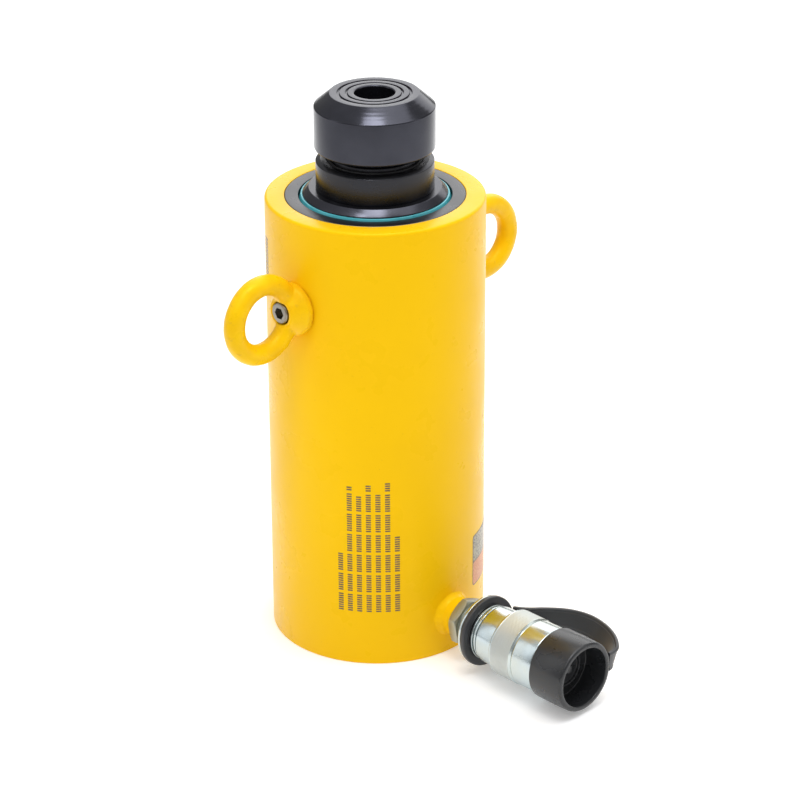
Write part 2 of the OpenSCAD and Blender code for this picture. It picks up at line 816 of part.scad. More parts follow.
barrel();
port_boss();
gland_nut();
gland_wiper();
gland_rod_seal();
gland_backup_ring();
gland_guide_ring();
gland_static_seal();
lifting_eye_left();
lifting_eye_right();
eye_studs();
port_adapter();
coupler_body();
coupler_nose_seal();
valve_guide();
valve_spring();
collar_snap_ring();
strap_ring();
stage_1_sleeve();
stage_1_guide_ring();
inner_gland_nut();
inner_wiper();
inner_rod_seal();
inner_backup_ring();
inner_gland_guide_ring();
inner_static_seal();
stage_2_plunger();
stage_2_guide_ring();
saddle_screw();
saddle_washer();
saddle();
coupler_collar();
valve_poppet();
poppet_seal();
dust_cap();
dust_cap_strap();
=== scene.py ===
import json
import math

import bmesh
import bpy
from mathutils import Matrix, Vector, noise


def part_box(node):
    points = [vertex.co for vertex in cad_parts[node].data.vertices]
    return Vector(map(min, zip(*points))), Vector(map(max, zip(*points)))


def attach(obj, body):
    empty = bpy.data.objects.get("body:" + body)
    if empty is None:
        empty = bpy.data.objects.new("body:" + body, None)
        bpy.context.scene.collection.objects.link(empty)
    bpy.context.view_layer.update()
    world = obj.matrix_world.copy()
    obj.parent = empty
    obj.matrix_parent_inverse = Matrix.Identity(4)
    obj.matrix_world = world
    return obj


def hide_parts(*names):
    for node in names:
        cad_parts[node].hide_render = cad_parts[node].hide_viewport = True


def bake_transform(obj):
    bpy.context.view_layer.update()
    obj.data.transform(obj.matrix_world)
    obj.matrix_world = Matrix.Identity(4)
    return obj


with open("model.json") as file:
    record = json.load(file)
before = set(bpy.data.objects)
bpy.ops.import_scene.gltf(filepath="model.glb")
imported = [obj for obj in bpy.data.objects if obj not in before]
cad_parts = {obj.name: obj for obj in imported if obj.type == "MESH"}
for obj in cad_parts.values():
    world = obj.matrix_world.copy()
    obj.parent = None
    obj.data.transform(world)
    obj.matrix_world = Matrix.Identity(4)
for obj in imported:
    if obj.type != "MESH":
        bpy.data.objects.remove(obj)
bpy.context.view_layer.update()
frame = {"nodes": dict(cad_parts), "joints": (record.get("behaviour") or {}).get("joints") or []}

# The frame's own measures, in metres --------------------------------------------------------

MM = 0.001


def low(node):
    """The lower corner of a node's box."""
    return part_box(node)[0]


def high(node):
    """The upper corner of a node's box."""
    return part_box(node)[1]


BARREL_R = high("barrel").y
BARREL_H = high("barrel").z
PORT_Z = (low("dust_cap").z + high("dust_cap").z) / 2
EYE_Z = (low("lifting_eye_right").z + high("lifting_eye_right").z) / 2


# Camera ---------------------------------------------------------------------------------------

CAMERA_AZIMUTH = 46.42
CAMERA_ELEVATION = 24.78
CAMERA_DISTANCE = 1.789
CAMERA_TURN = (0.17, 0.42, 0.44)  # small pitch, yaw and roll of a hand-held camera, degrees
AIM = Vector((0, 0, 0.1423))
LENS_MM = 142.5
SENSOR_MM = 36


def around(turn, elevation):
    """Unit vector from the object towards a place seen from it. Turn 0 is -Y, 90 is +X."""
    a, e = math.radians(turn), math.radians(elevation)
    return Vector((math.sin(a) * math.cos(e), -math.cos(a) * math.cos(e), math.sin(e)))


def make_camera():
    """The photo's camera, slightly turned as if held by hand."""
    data = bpy.data.cameras.new("camera")
    data.lens = LENS_MM
    data.sensor_width = SENSOR_MM
    camera = bpy.data.objects.new("camera", data)
    bpy.context.scene.collection.objects.link(camera)
    back = around(CAMERA_AZIMUTH, CAMERA_ELEVATION)
    right = around(CAMERA_AZIMUTH + 90, 0)
    up = back.cross(right)
    pitch, yaw, roll = (math.radians(v) for v in CAMERA_TURN)
    axes = Matrix((right, up, back))
    tipped = Matrix.Rotation(roll, 3, "Z") @ Matrix.Rotation(pitch, 3, "X") @ Matrix.Rotation(yaw, 3, "Y")
    facing = (tipped @ axes).transposed().to_4x4()
    camera.matrix_world = Matrix.Translation(AIM + back * CAMERA_DISTANCE) @ facing
    bpy.context.scene.camera = camera


# Stage and light ------------------------------------------------------------------------------

FLOOR_SIZE = 12.0


def make_floor():
    """A wide pale floor that meets the background out of sight."""
    mesh = bpy.data.meshes.new("floor")
    h = FLOOR_SIZE / 2
    mesh.from_pydata([(-h, -h, 0), (h, -h, 0), (h, h, 0), (-h, h, 0)], [], [(0, 1, 2, 3)])
    floor = bpy.data.objects.new("floor", mesh)
    bpy.context.scene.collection.objects.link(floor)
    floor.data.materials.append(floor_material())


def soft_box(name, turn, elevation, distance, width, height, power, warmth=(1, 1, 1)):
    """An area light that looks at the object from a place given relative to the camera."""
    data = bpy.data.lights.new(name, "AREA")
    data.shape = "RECTANGLE"
    data.size = width
    data.size_y = height
    data.energy = power
    data.color = warmth
    light = bpy.data.objects.new(name, data)
    bpy.context.scene.collection.objects.link(light)
    place = AIM + around(CAMERA_AZIMUTH + turn, elevation) * distance
    light.location = place
    light.rotation_euler = (AIM - place).to_track_quat("-Z", "Y").to_euler()


def make_lights():
    """Soft boxes over a pale studio that is darker near the horizon."""
    soft_box("overhead", 110, 76, 1.7, 1.6, 1.4, 12.5)
    soft_box("backdrop", 165, 27, 2.2, 2.2, 1.5, 17)
    soft_box("top_strip", -4, 72, 1.6, 0.62, 0.42, 7, (0.95, 0.96, 1))
    soft_box("top_spot", -35, 62, 1.6, 0.22, 0.2, 1.6, (0.95, 0.97, 1))
    soft_box("left_panel", -82, 22, 1.7, 0.6, 1.5, 2.4)
    soft_box("right_panel", 84, 22, 1.7, 0.6, 1.5, 2.0)
    soft_box("front_fill", -14, 40, 2.0, 0.8, 0.6, 3)
    world = bpy.data.worlds.new("studio")
    bpy.context.scene.world = world
    world.use_nodes = True
    tree = world.node_tree
    split = tree.nodes.new("ShaderNodeSeparateXYZ")
    tree.links.new(tree.nodes.new("ShaderNodeTexCoord").outputs["Generated"], split.inputs["Vector"])
    ramp = tree.nodes.new("ShaderNodeMapRange")
    tree.links.new(split.outputs["Z"], ramp.inputs["Value"])
    ramp.inputs["To Min"].default_value = 0.2
    ramp.inputs["To Max"].default_value = 0.8
    background = tree.nodes["Background"]
    background.inputs["Color"].default_value = (1, 1, 1, 1)
    tree.links.new(ramp.outputs["Result"], background.inputs["Strength"])
    bpy.context.scene.view_settings.view_transform = "Standard"


# Material building ----------------------------------------------------------------------------


class Paint:
    """A material under construction: its node tree, its Principled shader and short calls for nodes."""

    def __init__(self, name, color, metallic, roughness, **sockets):
        self.material = bpy.data.materials.new(name)
        self.material.use_nodes = True
        self.tree = self.material.node_tree
        self.shader = self.tree.nodes["Principled BSDF"]
        self.set("Base Color", (*color, 1))
        self.set("Metallic", metallic)
        self.set("Roughness", roughness)
        for socket, value in sockets.items():
            self.set(socket.replace("_", " "), value)
        self.place = self.tree.nodes.new("ShaderNodeTexCoord").outputs["Object"]

    def set(self, socket, value):
        self.shader.inputs[socket].default_value = value

    def link(self, source, target):
        self.tree.links.new(source, target)

    def node(self, kind, **inputs):
        node = self.tree.nodes.new("ShaderNode" + kind)
        for key, value in inputs.items():
            self.feed(node.inputs[key.replace("_", " ")], value)
        return node

    def feed(self, socket, value):
        if isinstance(value, bpy.types.NodeSocket):
            self.link(value, socket)
        else:
            socket.default_value = value

    def noise(self, scale, detail=2.0, stretch=None):
        where = self.place
        if stretch:
            where = self.node("Mapping", Vector=self.place, Scale=stretch).outputs["Vector"]
        return self.node("TexNoise", Vector=where, Scale=scale, Detail=detail).outputs["Fac"]

    def ramp(self, value, low_in, high_in, low_out, high_out):
        node = self.node("MapRange", Value=value)
        node.inputs["From Min"].default_value = low_in
        node.inputs["From Max"].default_value = high_in
        node.inputs["To Min"].default_value = low_out
        node.inputs["To Max"].default_value = high_out
        return node.outputs["Result"]

    def math(self, operation, a, b=0.0):
        node = self.tree.nodes.new("ShaderNodeMath")
        node.operation = operation
        self.feed(node.inputs[0], a)
        self.feed(node.inputs[1], b)
        return node.outputs[0]

    def mix(self, factor, a, b):
        node = self.tree.nodes.new("ShaderNodeMix")
        node.data_type = "RGBA"
        self.feed(node.inputs["Factor"], factor)
        self.feed(node.inputs["A"], a if isinstance(a, bpy.types.NodeSocket) else (*a, 1))
        self.feed(node.inputs["B"], b if isinstance(b, bpy.types.NodeSocket) else (*b, 1))
        return node.outputs["Result"]

    def axis(self, name):
        return self.node("SeparateXYZ", Vector=self.place).outputs[name]

    def turned_grain(self, amount):
        """Highlights spread across the tool marks of a turned face."""
        tangent = self.tree.nodes.new("ShaderNodeTangent")
        tangent.direction_type = "RADIAL"
        tangent.axis = "Z"
        self.link(tangent.outputs["Tangent"], self.shader.inputs["Tangent"])
        self.set("Anisotropic", amount)

    def bump(self, height, strength, distance):
        """Adds one layer of relief over those already there."""
        node = self.tree.nodes.new("ShaderNodeBump")
        node.inputs["Strength"].default_value = strength
        node.inputs["Distance"].default_value = distance
        self.link(height, node.inputs["Height"])
        normal = self.shader.inputs["Normal"]
        if normal.is_linked:
            self.link(normal.links[0].from_socket, node.inputs["Normal"])
        self.link(node.outputs["Normal"], normal)


def floor_material():
    """A pale sweep that glows a little, as if lit from below, so shadows on it stay soft."""
    paint = Paint("floor", (0.93, 0.93, 0.93), 0, 0.7, Emission_Color=(1, 1, 1, 1), Emission_Strength=0.2)
    paint.link(
        paint.mix(paint.noise(1.5), (0.92, 0.92, 0.92), (0.94, 0.94, 0.94)),
        paint.shader.inputs["Base Color"],
    )
    return paint.material


ENAMEL = (0.9, 0.53, 0.003)
ENAMEL_SHEEN = (1, 0.72, 0.12, 1)


def yellow_paint():
    """Glossy enamel with a slight orange peel and tiny dust nibs."""
    paint = Paint("yellow_paint", ENAMEL, 0, 0.24, Specular_IOR_Level=0.3, Specular_Tint=ENAMEL_SHEEN)
    broad = paint.noise(9, 3)
    tone = paint.mix(paint.ramp(broad, 0.35, 0.65, 0, 1), (0.92, 0.545, 0.003), (0.88, 0.515, 0.004))
    specks = paint.ramp(paint.noise(900, 1), 0.74, 0.78, 0, 0.35)
    paint.link(paint.mix(specks, tone, (0.62, 0.34, 0.01)), paint.shader.inputs["Base Color"])
    paint.link(paint.ramp(paint.noise(40, 4), 0.3, 0.7, 0.24, 0.36), paint.shader.inputs["Roughness"])
    paint.bump(paint.noise(330, 2), 0.10, 0.0006)
    paint.bump(paint.ramp(paint.noise(700, 1), 0.72, 0.8, 0, 1), 0.25, 0.00015)
    return paint.material


def forged_paint():
    """The same enamel over a forged surface: softer, with dents and scale marks under it."""
    paint = Paint("forged_paint", ENAMEL, 0, 0.16, Specular_IOR_Level=0.5, Specular_Tint=ENAMEL_SHEEN)
    tone = paint.mix(
        paint.ramp(paint.noise(60, 4), 0.35, 0.68, 0, 1), (0.93, 0.57, 0.004), (0.83, 0.475, 0.005),
    )
    pits = paint.ramp(paint.noise(260, 3), 0.62, 0.72, 0, 1)
    paint.link(
        paint.mix(paint.math("MULTIPLY", pits, 0.5), tone, (0.7, 0.4, 0.02)),
        paint.shader.inputs["Base Color"],
    )
    paint.link(paint.ramp(paint.noise(120, 4), 0.3, 0.7, 0.24, 0.42), paint.shader.inputs["Roughness"])
    paint.bump(paint.noise(110, 4), 0.35, 0.0012)
    paint.bump(pits, 0.3, 0.0003)
    return paint.material


STEEL_TINT = (1.12, 1.1, 1.06)


def turned_steel(name, color, roughness, metallic, pitch_mm):
    """Machined steel: fine tool lines along the axis, cloudy tone, faint handling marks."""
    paint = Paint(name, color, metallic, roughness)
    cloud = paint.ramp(paint.noise(45, 5), 0.3, 0.7, 0, 1)
    lighter = tuple(c * t for c, t in zip(color, STEEL_TINT))
    darker = tuple(c * 0.88 for c in color)
    paint.link(paint.mix(cloud, darker, lighter), paint.shader.inputs["Base Color"])
    lines = paint.math("SINE", paint.math("MULTIPLY", paint.axis("Z"), 2 * math.pi / (pitch_mm * MM)))
    streaks = paint.noise(60, 3, (1, 1, 14))
    paint.link(
        paint.ramp(paint.math("ADD", cloud, streaks), 0.4, 1.4, roughness - 0.05, roughness + 0.09),
        paint.shader.inputs["Roughness"],
    )
    paint.bump(lines, 0.05, 0.00004)
    paint.bump(streaks, 0.10, 0.00012)
    return paint.material


def face_turned_steel(name, color, roughness, metallic, pitch_mm):
    """The same steel where it is faced: the tool lines run round the lifting axis."""
    paint = Paint(name, color, metallic, roughness)
    split = paint.node("SeparateXYZ", Vector=paint.place)
    square = paint.math(
        "ADD",
        paint.math("MULTIPLY", split.outputs["X"], split.outputs["X"]),
        paint.math("MULTIPLY", split.outputs["Y"], split.outputs["Y"]),
    )
    radius = paint.math("SQRT", square)
    along = paint.math("ADD", radius, split.outputs["Z"])
    cloud = paint.ramp(paint.noise(55, 5), 0.3, 0.7, 0, 1)
    paint.link(
        paint.mix(cloud, tuple(c * 0.86 for c in color), tuple(c * 1.14 for c in color)),
        paint.shader.inputs["Base Color"],
    )
    paint.link(paint.ramp(cloud, 0, 1, roughness - 0.05, roughness + 0.07), paint.shader.inputs["Roughness"])
    lines = paint.math("SINE", paint.math("MULTIPLY", along, 2 * math.pi / (pitch_mm * MM)))
    paint.turned_grain(0.6)
    paint.bump(lines, 0.10, 0.00005)
    paint.bump(paint.noise(420, 3), 0.04, 0.0001)
    return paint.material


def zinc_plate(name, color, roughness, cool, warm):
    """Electroplated zinc: a thin bluish and straw cast over a slightly uneven shine."""
    paint = Paint(name, color, 1.0, roughness)
    cast = paint.ramp(paint.noise(38, 3), 0.3, 0.7, 0, 1)
    paint.link(paint.mix(cast, cool, warm), paint.shader.inputs["Base Color"])
    paint.link(
        paint.ramp(paint.noise(150, 4), 0.3, 0.7, roughness - 0.05, roughness + 0.08),
        paint.shader.inputs["Roughness"],
    )
    paint.bump(paint.noise(520, 2), 0.1, 0.00006)
    return paint.material


def moulded_plastic(name, color, roughness, grain):
    """Moulded polymer: fine spark grain and cloudy gloss."""
    paint = Paint(name, color, 0, roughness, Specular_IOR_Level=0.5)
    cloud = paint.ramp(paint.noise(30, 4), 0.3, 0.7, 0, 1)
    base = paint.mix(cloud, tuple(c * 0.85 for c in color), tuple(c * 1.2 for c in color))
    paint.link(base, paint.shader.inputs["Base Color"])
    paint.link(
        paint.ramp(paint.noise(70, 4), 0.3, 0.7, roughness - 0.03, roughness + 0.05),
        paint.shader.inputs["Roughness"],
    )
    paint.bump(paint.noise(2600, 2), grain, 0.00012)
    paint.bump(paint.noise(160, 3), 0.06, 0.0002)
    return paint.material


def printed_ink(name, color):
    """Screen print on the enamel, worn thin in spots."""
    paint = Paint(name, color, 0, 0.38, Coat_Weight=0.25, Coat_Roughness=0.15)
    thin = paint.ramp(paint.noise(1100, 3), 0.52, 0.66, 0, 0.45)
    paint.link(
        paint.mix(thin, color, tuple(min(1, c * 3 + 0.1) for c in color)), paint.shader.inputs["Base Color"],
    )
    return paint.material


def dotted_print(name, ground, dots):
    """Speckled print on a sticker."""
    paint = Paint(name, ground, 0, 0.35, Coat_Weight=0.4, Coat_Roughness=0.12)
    speck = paint.ramp(paint.noise(900, 1), 0.5, 0.56, 0, 1)
    paint.link(paint.mix(speck, ground, dots), paint.shader.inputs["Base Color"])
    return paint.material


MATERIALS = {}


def make_materials():
    """Every finish, under the short name that the pieces use."""
    MATERIALS.update(
        yellow=yellow_paint(),
        forged=forged_paint(),
        black=turned_steel("black_steel", (0.037, 0.038, 0.044), 0.24, 0.9, 0.35),
        black_face=face_turned_steel("black_steel_faced", (0.046, 0.047, 0.058), 0.17, 0.9, 0.3),
        gland=face_turned_steel("gland_steel", (0.085, 0.086, 0.09), 0.3, 0.9, 0.3),
        steel=turned_steel("plain_steel", (0.42, 0.42, 0.43), 0.3, 1.0, 0.3),
        stud=face_turned_steel("stud_steel", (0.3, 0.29, 0.26), 0.38, 1.0, 0.3),
        zinc=zinc_plate("bright_zinc", (0.58, 0.62, 0.61), 0.2, (0.52, 0.6, 0.63), (0.6, 0.63, 0.57)),
        knurl=zinc_plate("knurled_zinc", (0.56, 0.59, 0.57), 0.42, (0.53, 0.57, 0.57), (0.58, 0.6, 0.56)),
        dull=zinc_plate("dull_zinc", (0.4, 0.42, 0.37), 0.42, (0.38, 0.41, 0.38), (0.42, 0.42, 0.35)),
        plastic=moulded_plastic("black_plastic", (0.017, 0.018, 0.02), 0.27, 0.05),
        strap=moulded_plastic("strap_plastic", (0.036, 0.036, 0.039), 0.36, 0.12),
        teal=moulded_plastic("teal_polyurethane", (0.06, 0.36, 0.41), 0.25, 0.05),
        rubber=moulded_plastic("seal_rubber", (0.02, 0.02, 0.022), 0.55, 0.15),
        ptfe=moulded_plastic("backup_ptfe", (0.75, 0.73, 0.66), 0.45, 0.05),
        bronze=moulded_plastic("bronze_filled", (0.3, 0.18, 0.08), 0.5, 0.1),
        ink=printed_ink("print_dark", (0.1, 0.055, 0.012)),
        label_orange=printed_ink("label_orange", (0.62, 0.2, 0.06)),
        label_dark=printed_ink("label_dark", (0.07, 0.035, 0.015)),
        label_grey=dotted_print("label_grey", (0.28, 0.25, 0.15), (0.07, 0.06, 0.04)),
    )


# Mesh building --------------------------------------------------------------------------------

TURN_STEPS = 192
FILLET_STEPS = 5
SHARP_ANGLE = math.radians(32)
ALONG_COUPLER = Matrix.Translation((0, 0, PORT_Z)) @ Matrix.Rotation(math.radians(90), 4, "Y")


def piece(name, mesh, material, body, replaced=(), place=None):
    """Finishes a mesh as a piece of the object that rides on one body."""
    if place is not None:
        mesh.transform(place)
    mesh.shade_smooth()
    mesh.set_sharp_from_angle(angle=SHARP_ANGLE)
    thing = bpy.data.objects.new(name, mesh)
    bpy.context.scene.collection.objects.link(thing)
    thing.data.materials.append(MATERIALS[material])
    if replaced:
        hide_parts(*replaced)
    if body:
        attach(thing, body)
    return thing


def fillet(corners):
    """(radius, height, round) corners in mm as a closed outline in metres, each corner rounded."""
    outline = []
    count = len(corners)
    for i, (r, z, size) in enumerate(corners):
        here = Vector((r, z))
        if size <= 0:
            outline.append(here * MM)
            continue
        before = Vector(corners[i - 1][:2]) - here
        after = Vector(corners[(i + 1) % count][:2]) - here
        half = before.angle(after) / 2
        cut = min(size / math.tan(half), before.length * 0.48, after.length * 0.48)
        radius = cut * math.tan(half)
        centre = here + (before.normalized() + after.normalized()).normalized() * radius / math.sin(half)
        first = here + before.normalized() * cut - centre
        sweep = first.angle_signed(here + after.normalized() * cut - centre)
        for k in range(FILLET_STEPS + 1):
            outline.append((centre + Matrix.Rotation(-sweep * k / FILLET_STEPS, 2) @ first) * MM)
    return outline


def bridge(bm, rings, closed=False):
    """Skins each ring to the next. The last one joins the first, or else both ends are capped."""
    count = len(rings[0])
    following = rings[1:] + rings[:1] if closed else rings[1:]
    for a, b in zip(rings, following):
        for k in range(count):
            j = (k + 1) % count
            bm.faces.new((a[k], a[j], b[j], b[k]))
    if not closed:
        bm.faces.new(rings[0][::-1])
        bm.faces.new(rings[-1])


def finished(bm, name):
    """The shape just built as a mesh, with its faces turned outwards."""
    bmesh.ops.recalc_face_normals(bm, faces=bm.faces)
    mesh = bpy.data.meshes.new(name)
    bm.to_mesh(mesh)
    bm.free()
    return mesh


def revolve(name, outline, steps=TURN_STEPS, radial=None):
    """A closed outline of (radius, height) turned about Z. radial(angle, r, z) may move a point outwards."""
    bm = bmesh.new()
    rings = []
    for k in range(steps):
        angle = 2 * math.pi * k / steps
        c, s = math.cos(angle), math.sin(angle)
        ring = []
        for r, z in outline:
            out = r + radial(angle, r, z) if radial else r
            ring.append(bm.verts.new((out * c, out * s, z)))
        rings.append(ring)
    count = len(outline)
    for k in range(steps):
        a, b = rings[k], rings[(k + 1) % steps]
        for i in range(count):
            j = (i + 1) % count
            if outline[i][0] < 1e-7 and outline[j][0] < 1e-7:
                continue
            bm.faces.new((a[i], b[i], b[j], a[j]))
    bmesh.ops.remove_doubles(bm, verts=bm.verts, dist=1e-7)
    bmesh.ops.dissolve_degenerate(bm, edges=bm.edges, dist=1e-8)
    return finished(bm, name)


def turned(name, corners, material, body, replaced=(), place=None, steps=TURN_STEPS, radial=None):
    """A piece turned on a lathe. It stands for the node of its own name unless others are given."""
    mesh = revolve(name, fillet(corners), steps, radial)
    return piece(name, mesh, material, body, replaced or (name,), place)


def baked(thing):
    """The mesh of an object with its modifiers applied; the object itself is removed."""
    bpy.context.view_layer.update()
    graph = bpy.context.evaluated_depsgraph_get()
    mesh = bpy.data.meshes.new_from_object(thing.evaluated_get(graph))
    bpy.data.objects.remove(thing)
    return mesh


def loose(mesh):
    """A mesh as a bare object for a modifier to work on."""
    thing = bpy.data.objects.new("loose", mesh)
    bpy.context.scene.collection.objects.link(thing)
    return thing


def cut(mesh, tool, operation="DIFFERENCE"):
    """One mesh less another, or their common part."""
    thing = loose(mesh)
    cutter = loose(tool)
    modifier = thing.modifiers.new("cut", "BOOLEAN")
    modifier.operation = operation
    modifier.solver = "EXACT"
    modifier.object = cutter
    result = baked(thing)
    bpy.data.objects.remove(cutter)
    return result


def prism(sides, radius, low_z, high_z, turn=0.0):
    """A regular prism standing along Z."""
    bm = bmesh.new()
    rings = []
    for z in (low_z, high_z):
        ring = []
        for k in range(sides):
            angle = 2 * math.pi * k / sides + turn
            ring.append(bm.verts.new((radius * math.cos(angle), radius * math.sin(angle), z)))
        rings.append(ring)
    bm.faces.new(rings[0][::-1])
    bm.faces.new(rings[1])
    for k in range(sides):
        j = (k + 1) % sides
        bm.faces.new((rings[0][k], rings[0][j], rings[1][j], rings[1][k]))
    mesh = bpy.data.meshes.new("prism")
    bm.to_mesh(mesh)
    bm.free()
    return mesh


def bevelled(mesh, width):
    """The mesh with its sharp edges rounded."""
    thing = loose(mesh)
    modifier = thing.modifiers.new("bevel", "BEVEL")
    modifier.width = width
    modifier.segments = 3
    modifier.limit_method = "ANGLE"
    modifier.angle_limit = math.radians(30)
    return baked(thing)


# Barrel and gland -----------------------------------------------------------------------------


def make_barrel():
    """The barrel with its closed base and the wider mouth for the gland nut."""
    r, h = BARREL_R / MM, BARREL_H / MM
    bore, mouth = 45.0, high("gland_nut").y / MM + 0.1
    turned(
        "barrel_body",
        [
            (0, 0, 0), (r, 0, 0.9), (r, h, 1.7), (mouth, h, 0.5), (mouth, 222, 0.2), (bore, 222, 0.2),
            (bore, 30, 1), (0, 30, 0),
        ],
        "yellow", "root", ("barrel",), steps=256,
    )


BOSS_R = 10.9
BOSS_REAR = 64.0
WELD_R = 13.9
WELD_RIPPLES = 30


def make_port_boss():
    """The round boss that the adapter screws into."""
    end = high("port_boss").x / MM
    turned(
        "port_boss_body",
        [(8.6, 59, 0), (BOSS_R, 59, 0), (BOSS_R, end, 0.5), (8.6, end, 0.3)],
        "yellow", "root", ("port_boss",), ALONG_COUPLER,
    )


def make_boss_weld():
    """The boss stands in a weld that spreads from it onto the curved barrel."""
    bm = bmesh.new()
    steps, rows = 300, 9
    rings = []
    for k in range(steps):
        angle = 2 * math.pi * k / steps
        ripple = 0.1 * math.sin(angle * WELD_RIPPLES) + 0.4 * noise.noise(
            Vector((math.cos(angle), math.sin(angle), 5)) * 2.2
        )
        spread = WELD_R + ripple
        ring = []
        for i in range(rows):
            t = i / (rows - 1)
            r = (BOSS_R - 0.1 + (spread - BOSS_R + 0.1) * t) * MM
            y, z = r * math.cos(angle), r * math.sin(angle)
            surface = math.sqrt(BARREL_R ** 2 - y ** 2)
            rise = (BOSS_REAR * MM - surface + 0.25 * ripple * MM) * (1 - t) ** 2.4 - 0.15 * MM * t
            ring.append(bm.verts.new((surface + rise, y, PORT_Z + z)))
        for r in (spread, BOSS_R - 0.1):
            y, z = r * MM * math.cos(angle), r * MM * math.sin(angle)
            ring.append(bm.verts.new((BARREL_R - 4 * MM, y, PORT_Z + z)))
        rings.append(ring)
    bridge(bm, rings, closed=True)
    piece("boss_weld", finished(bm, "boss_weld"), "yellow", "root")


def make_gland():
    """The gland nut in the barrel's mouth and the wiper that stands in it."""
    r = high("gland_nut").y / MM
    h = BARREL_H / MM
    turned(
        "gland_nut_body",
        [
            (40.3, 222.2, 0.3), (r, 222.2, 0.5), (r, h - 0.1, 0.5), (42.4, h - 0.1, 0.3),
            (42.4, h - 3.4, 0.2), (40.3, h - 3.4, 0.1),
        ],
        "gland", "root", ("gland_nut",),
    )
    turned(
        "gland_wiper_lip",
        [
            (40.05, h - 3.2, 0.1), (42.2, h - 3.2, 0.1), (42.1, h - 2.6, 0.3), (41.2, h - 0.2, 0.3),
            (41.0, h + 0.55, 0.35), (40.05, h + 0.6, 0.25),
        ],
        "teal", "root", ("gland_wiper",),
    )


# Stages ---------------------------------------------------------------------------------------


def make_sleeve():
    """The first stage, with its piston foot and the chamfer at its open end."""
    h = high("stage_1_sleeve").z / MM
    turned(
        "sleeve_body",
        [
            (6, 31.5, 0.5), (38, 31.5, 0.3), (38, 30, 0.3), (44.7, 30, 0.8), (44.7, 86.7, 0.6),
            (40, 86.7, 0.4), (40, h - 3.4, 0.5), (36.6, h, 0.5), (30, h, 0.1), (30, 215.3, 0.1),
            (29, 215.3, 0.1), (29, 42, 0.5), (6, 42, 0.3),
        ],
        "black_face", "stage_1", ("stage_1_sleeve",),
    )


def make_inner_gland():
    """The second stage's gland nut, round on top, and its wiper."""
    top = high("inner_gland_nut").z / MM
    shoulder = high("stage_1_sleeve").z / MM
    r = high("inner_gland_nut").y / MM
    turned(
        "inner_gland_body",
        [
            (25.3, 215.5, 0.2), (29.9, 215.5, 0.6), (29.9, shoulder, 0.1), (r, shoulder, 0.3),
            (r, top - 1.3, 0.5), (r - 2.6, top, 0.5), (27, top, 0.3), (27, top - 2, 0.2),
            (25.3, top - 2, 0.1),
        ],
        "black", "stage_1", ("inner_gland_nut",),
    )
    turned(
        "inner_wiper_lip",
        [(25.05, top - 1.9, 0.1), (26.8, top - 1.9, 0.2), (26.1, top + 0.25, 0.3), (25.05, top + 0.3, 0.2)],
        "rubber", "stage_1", ("inner_wiper",),
    )


CUP_R = 29.4
BALL_R = 29.1
SEAT_RIM_R = 22.0


def arc(centre_z, radius, from_r, to_r, count=14):
    """Points on the lower half of a ball centred on the lifting axis."""
    points = []
    for k in range(count + 1):
        r = from_r + (to_r - from_r) * k / count
        points.append((r, centre_z - math.sqrt(radius ** 2 - r ** 2), 0))
    return points


def make_plunger(tilt):
    """The second stage, cupped on top for the saddle's ball seat."""
    top = high("stage_2_plunger").z / MM
    floor = low("stage_2_plunger").z / MM
    turned(
        "plunger_body",
        [
            (0, floor + 1.5, 0), (22, floor + 1.5, 0.2), (22, floor, 0.3), (28.7, floor, 0.8),
            (28.7, floor + 38, 0.5), (25, floor + 38, 0.4), (25, top, 0.9),
        ] + arc(tilt, CUP_R, SEAT_RIM_R, 5.1) + [(5.1, top - 24, 0), (0, top - 24, 0)],
        "black", "stage_2", ("stage_2_plunger",),
    )


def make_saddle(tilt):
    """The tilt saddle, with a hole and two shallow rings turned in its face."""
    top = high("saddle").z / MM
    base = high("inner_gland_nut").z / MM + 5.8
    r = high("saddle").y / MM
    face = 24.6
    hole = 11.0
    ring_depth = 0.9
    turned(
        "saddle_body",
        [
            (r, base, 1.6), (r, top - 7.4, 0.9), (face, top, 0.5), (20.6, top, 0.18),
            (20.4, top - ring_depth, 0.15), (19.2, top - ring_depth, 0.15), (19, top, 0.18),
            (16, top, 0.18), (15.8, top - ring_depth, 0.15), (14.8, top - ring_depth, 0.15),
            (14.6, top, 0.18), (hole, top, 0.9), (hole, tilt + 1, 0.2), (10.6, tilt + 1, 0.1),
        ] + arc(tilt, 12.7, 10.6, 8, 8) + arc(tilt, BALL_R, 8, SEAT_RIM_R) + [(SEAT_RIM_R, base, 0.3)],
        "black_face", "saddle", ("saddle",),
    )


# Lifting eyes ---------------------------------------------------------------------------------


def ring_mesh(centre, radius, section, steps=96, sides=32):
    """A round ring standing in the plane of the lifting axis and the eye's own axis."""
    bm = bmesh.new()
    rings = []
    for k in range(steps):
        angle = 2 * math.pi * k / steps
        out = Vector((0, math.cos(angle), math.sin(angle)))
        ring = []
        for i in range(sides):
            a = 2 * math.pi * i / sides
            across = Vector((section * math.sin(a), 0, 0))
            ring.append(bm.verts.new(centre + out * (radius + section * math.cos(a)) + across))
        rings.append(ring)
    bridge(bm, rings, closed=True)
    return finished(bm, "ring")


def joined(meshes):
    """Several meshes as one."""
    bm = bmesh.new()
    for mesh in meshes:
        bm.from_mesh(mesh)
    mesh = bpy.data.meshes.new("joined")
    bm.to_mesh(mesh)
    bm.free()
    return mesh


EYE_VOXEL = 0.0006
EYE_SEAT = 60.4
EYE_WIRE_R = 6.0
EYE_RING_R = 19.7
EYE_REACH = 24.67


